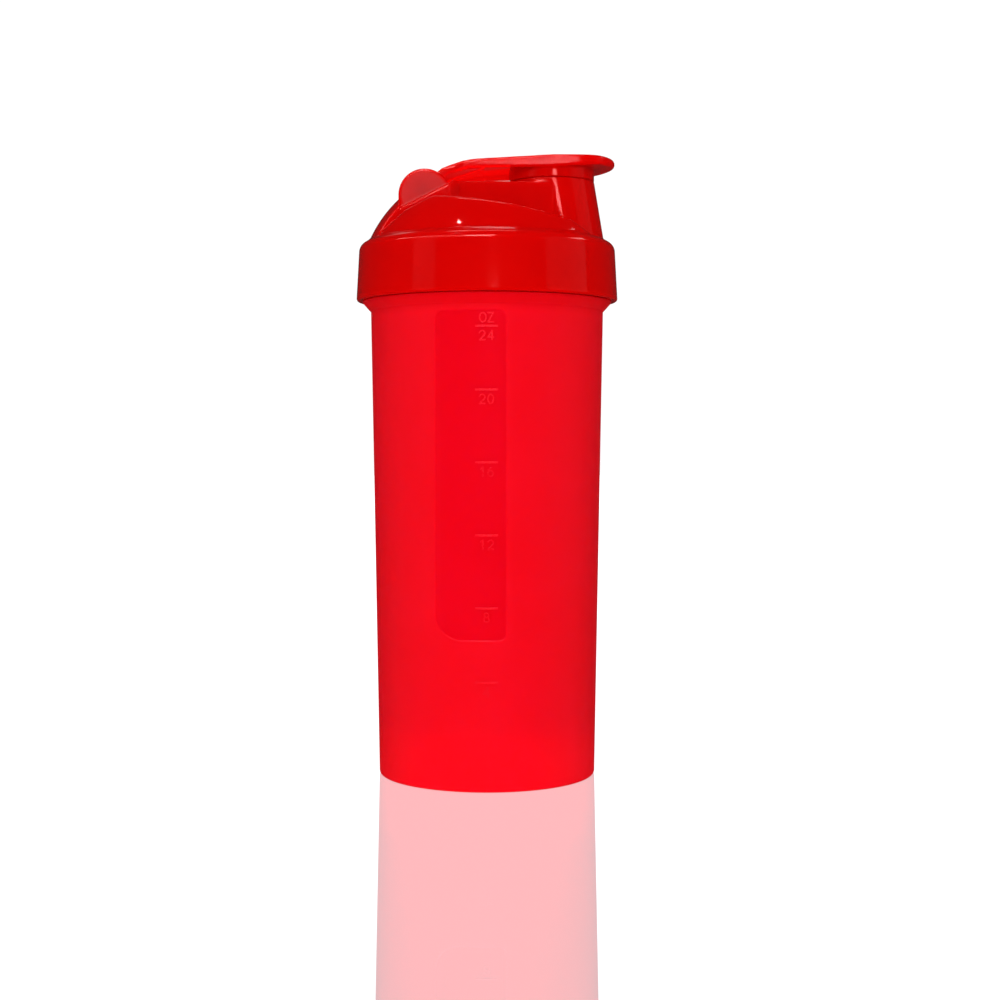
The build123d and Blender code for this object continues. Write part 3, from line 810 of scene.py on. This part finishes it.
def gloss_red(name, deep, bright, roughness, scatter, reach=0.003, glow=0.0):
    """Polished red plastic with faint flow marks and handling haze.

    It is rougher, and paler with painted sheen, where "matte" is painted, and glows with painted light,
    standing in for light let through the thin plate, where "glow" is.
    """
    made, tree, shader = material(name, {
        "IOR": 1.5, "Specular IOR Level": 0.5, "Specular Tint": (1.0, 0.3, 0.3, 1),
        "Subsurface Weight": scatter, "Subsurface Radius": (1.0, 0.05, 0.04), "Subsurface Scale": reach,
    })
    point = object_point(tree)
    matte = node(tree, "ShaderNodeAttribute", attribute_name="matte").outputs["Fac"]
    colour = blend_colour(tree, spread(tree, noise(tree, point, 55, 4), 0, 1), deep, bright)
    # Where "matte" is painted, the ear's matte colour with painted sheen replaces the polished red.
    ear_colour_with_sheen = blend_sockets(tree, "RGBA", matte, colour, (*MATTE_EAR, 1))
    tree.links.new(ear_colour_with_sheen, shader.inputs["Base Color"])
    haze = spread(tree, noise(tree, point, 260, 5, 0.6), roughness * 0.8, roughness * 1.25)
    tree.links.new(blend_sockets(tree, "FLOAT", matte, haze, 0.45), shader.inputs["Roughness"])
    ripple = noise(tree, point, 420, 3)
    grain = node(tree, "ShaderNodeMath", operation="MULTIPLY")
    tree.links.new(noise(tree, point, 2200, 2), grain.inputs[0])
    tree.links.new(matte, grain.inputs[1])
    relief = node(tree, "ShaderNodeMath", operation="MULTIPLY_ADD")
    tree.links.new(grain.outputs[0], relief.inputs[0])
    relief.inputs[1].default_value = 6.0
    tree.links.new(ripple, relief.inputs[2])
    bump(tree, shader, relief.outputs[0], 0.05, 0.00012)
    # Painted glow: emission standing in for light let through the thin plate.
    if glow > 0:
        lit = node(tree, "ShaderNodeAttribute", attribute_name="glow").outputs["Fac"]
        shine = blend_colour(tree, lit, (0, 0, 0), (glow, 0.001, 0.001))
        tree.links.new(shine, shader.inputs["Emission Color"])
        shader.inputs["Emission Strength"].default_value = 1.0
    return made


# Matte ear face: paler and pinker than the lid, partly from its textured finish, partly from painted sheen
# for the haze its rough surface reflects.
MATTE_EAR = (0.54, 0.011, 0.012)
lid_red = gloss_red("lid_red", (0.600, 0.0005, 0.0004), (0.630, 0.0009, 0.0007), 0.07, 0.8, 0.005)
cap_red = gloss_red("cap_red", (0.62, 0.0006, 0.0005), (0.66, 0.0010, 0.0008), 0.08, 0.9, 0.006, glow=0.36)
strainer_red = gloss_red("strainer_red", (0.60, 0.001, 0.0008), (0.65, 0.0016, 0.0012), 0.2, 0.3)


def frosted_red():
    """Satin, milky red plastic, with a smoother and deeper-coloured measuring window, and painted shade
    from just under the lid's collar upwards.
    """
    made, tree, shader = material("cup_red", {
        "IOR": 1.5, "Specular IOR Level": 0.25, "Specular Tint": (1.0, 0.2, 0.35, 1),
        "Subsurface Weight": 0.7, "Subsurface Radius": (1.0, 0.06, 0.07), "Subsurface Scale": 0.004,
    })
    point = object_point(tree)
    window = node(tree, "ShaderNodeAttribute", attribute_name="window").outputs["Fac"]
    cloud = spread(tree, noise(tree, point, 30, 3), 0, 1)
    milky = blend_colour(tree, cloud, (0.95, 0.0008, 0.0065), (0.99, 0.0014, 0.0095))
    deep = blend_colour(tree, cloud, (0.88, 0.0003, 0.0068), (0.93, 0.0005, 0.0088))
    wall = blend_sockets(tree, "RGBA", window, milky, deep)
    # Painted shade: from 162.5 mm up the cup is darkened, where the lid's collar overhangs and shades it.
    up = node(tree, "ShaderNodeSeparateXYZ")
    tree.links.new(point, up.inputs["Vector"])
    painted_collar_shade = spread(tree, up.outputs["Z"], 0, 1, 0.1625, 0.1660)
    colour = blend_sockets(tree, "RGBA", painted_collar_shade, wall, (0.82, 0.0003, 0.004, 1))
    tree.links.new(colour, shader.inputs["Base Color"])
    satin = spread(tree, noise(tree, point, 140, 4), 0.38, 0.46)
    tree.links.new(blend_sockets(tree, "FLOAT", window, satin, 0.22), shader.inputs["Roughness"])
    frost = node(tree, "ShaderNodeMath", operation="SUBTRACT")
    frost.inputs[0].default_value = 1.0
    tree.links.new(window, frost.inputs[1])
    grain = node(tree, "ShaderNodeMath", operation="MULTIPLY")
    tree.links.new(noise(tree, point, 1500, 2), grain.inputs[0])
    tree.links.new(frost.outputs[0], grain.inputs[1])
    bump(tree, shader, grain.outputs[0], 0.25, 0.00008)
    return made


cup_red = frosted_red()


def raised_print():
    """Pale red of the raised marks: partly their own paler tone, partly painted highlight that is
    strongest on the upper rows and fades towards the foot.
    """
    made, tree, shader = material("marks_red", {
        "IOR": 1.5, "Specular IOR Level": 0.25, "Specular Tint": (1.0, 0.3, 0.4, 1),
    })
    point = object_point(tree)
    tone_and_highlight = node(tree, "ShaderNodeAttribute", attribute_name="tone_and_highlight").outputs["Fac"]
    patchy = node(tree, "ShaderNodeMath", operation="MULTIPLY")
    tree.links.new(tone_and_highlight, patchy.inputs[0])
    tree.links.new(spread(tree, noise(tree, point, 500, 3), 0.7, 1.1), patchy.inputs[1])
    # The paler colour is the marks' own tone plus painted highlight.
    colour = blend_colour(tree, patchy.outputs[0], (0.93, 0.0010, 0.0085), (0.985, 0.010, 0.023))
    tree.links.new(colour, shader.inputs["Base Color"])
    tree.links.new(spread(tree, noise(tree, point, 700, 3), 0.26, 0.36), shader.inputs["Roughness"])
    return made


marks_red = raised_print()


def soft_white(name):
    """Soft sealing silicone, slightly uneven in tone."""
    made, tree, shader = material(name, {
        "IOR": 1.41, "Subsurface Weight": 0.3,
        "Subsurface Radius": (1.0, 0.9, 0.8), "Subsurface Scale": 0.002,
    })
    point = object_point(tree)
    cloud = spread(tree, noise(tree, point, 90, 4), 0, 1)
    colour = blend_colour(tree, cloud, (0.72, 0.71, 0.69), (0.80, 0.79, 0.77))
    tree.links.new(colour, shader.inputs["Base Color"])
    tree.links.new(spread(tree, noise(tree, point, 300, 4), 0.5, 0.62), shader.inputs["Roughness"])
    bump(tree, shader, noise(tree, point, 900, 2), 0.15, 0.00008)
    return made


silicone = soft_white("silicone")


def dress(thing, made, body, slot_name=None, *nodes):
    thing.data.materials.clear()
    thing.data.materials.append(made)
    if body is not None:
        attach(thing, body)
    if nodes:
        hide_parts(*nodes)


dress(cup, cup_red, "cup", "cup_frosted", "cup")
dress(cup_thread, cup_red, "cup", "cup_frosted")
dress(marks, marks_red, "cup", "cup_frosted")
dress(lid, lid_red, "lid", "lid_gloss", "screw_lid")
dress(cap, cap_red, "cap", "cap_gloss", "flip_cap")
for carried, look in (("spout_seal", silicone), ("lid_gasket", silicone), ("strainer", strainer_red)):
    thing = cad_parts[carried]
    thing.data.materials.clear()
    thing.data.materials.append(look)


# ---- floor: one polished pale sheet, which the plastics do not mirror ----
def lay_floor():
    mesh = bpy.data.meshes.new("floor")
    mesh.from_pydata([(-6, -6, 0), (6, -6, 0), (6, 6, 0), (-6, 6, 0)], [], [[0, 1, 2, 3]])
    sheet = bpy.data.objects.new("floor", mesh)
    bpy.context.scene.collection.objects.link(sheet)
    made, tree, shader = material("floor_white", {
        "Metallic": 1.0, "Roughness": 0.0, "Emission Color": (0.98, 1, 1.03, 1), "Emission Strength": 0.49,
    })
    cloud = noise(tree, object_point(tree), 6, 3)
    colour = blend_colour(tree, cloud, (0.50, 0.50, 0.50), (0.52, 0.52, 0.52))
    tree.links.new(colour, shader.inputs["Base Color"])
    mesh.materials.append(made)
    sheet.visible_glossy = False


lay_floor()


# ---- light ----
def panel(name, azimuth, elevation, distance, size, size_y, power, roll=0.0, seen_by="both"):
    """A soft box aimed at the lid, placed by its bearing from straight ahead and its elevation."""
    data = bpy.data.lights.new(name, "AREA")
    data.shape = "RECTANGLE"
    data.size, data.size_y = size, size_y
    data.energy = power
    lamp = bpy.data.objects.new(name, data)
    a, e = math.radians(azimuth), math.radians(elevation)
    away = Vector((math.sin(a) * math.cos(e), -math.cos(a) * math.cos(e), math.sin(e)))
    lamp.location = Vector((0, 0, LIGHT_TARGET)) + away * distance
    aim = away.to_track_quat("Z", "Y").to_matrix().to_4x4()
    lamp.rotation_euler = (aim @ Matrix.Rotation(math.radians(roll), 4, "Z")).to_euler()
    lamp.visible_glossy = seen_by != "diffuse"
    lamp.visible_diffuse = seen_by != "glossy"
    lamp.visible_camera = False
    bpy.context.scene.collection.objects.link(lamp)
    return lamp


LIGHT_TARGET = 0.17
# The first four light the plastic evenly.
panel("front", 6, 2, 2.0, 1.4, 1.4, 36, seen_by="diffuse")
panel("side", -62, 4, 2.0, 1.0, 1.4, 7.5, seen_by="diffuse")
panel("top", 0, 90, 1.4, 1.0, 1.0, 5, seen_by="diffuse")
panel("back", 176, 4, 1.6, 1.6, 1.2, 22, seen_by="diffuse")
# The rest show in the gloss only, but for the two at the sides.
panel("left", -56, 8, 1.2, 0.45, 1.3, 0.4)
panel("right", 74, 8, 1.2, 0.95, 1.3, 0.75)
panel("streak", 4.8, 9.57, 6.09, 1.1, 0.085, 7.3, roll=3, seen_by="glossy")
panel("strip", -7, 33, 1.2, 0.50, 0.25, 8, roll=3, seen_by="glossy")
panel("left_line", -58, 34, 1.6, 1.9, 0.20, 6, seen_by="glossy")
panel("right_line", 99, 34, 1.6, 0.50, 0.20, 1.5, seen_by="glossy")
panel("spot", -39, 57, 1.2, 0.06, 0.045, 0.8, seen_by="glossy")
panel("rim", -166, 40, 1.5, 0.60, 0.30, 0.3, seen_by="glossy")
panel("edges", -165, 80, 1.2, 0.6, 0.16, 1.2, seen_by="glossy")


def studio_world():
    """Even white surroundings, dimmed where satin and gloss would pick them up as haze."""
    world = bpy.data.worlds.new("world")
    world.use_nodes = True
    tree = world.node_tree
    ray = node(tree, "ShaderNodeLightPath")
    sharp = node(tree, "ShaderNodeMath", operation="MAXIMUM")
    tree.links.new(ray.outputs["Is Camera Ray"], sharp.inputs[0])
    tree.links.new(ray.outputs["Is Singular Ray"], sharp.inputs[1])
    ambient = blend_sockets(tree, "FLOAT", ray.outputs["Is Glossy Ray"], 0.42, 0.02)
    strength = blend_sockets(tree, "FLOAT", sharp.outputs[0], ambient, 1.05)
    background = tree.nodes["Background"]
    background.inputs["Color"].default_value = (1, 1, 1, 1)
    tree.links.new(strength, background.inputs["Strength"])
    bpy.context.scene.world = world


studio_world()
bpy.context.scene.view_settings.view_transform = "Standard"
bpy.context.scene.view_settings.look = "None"
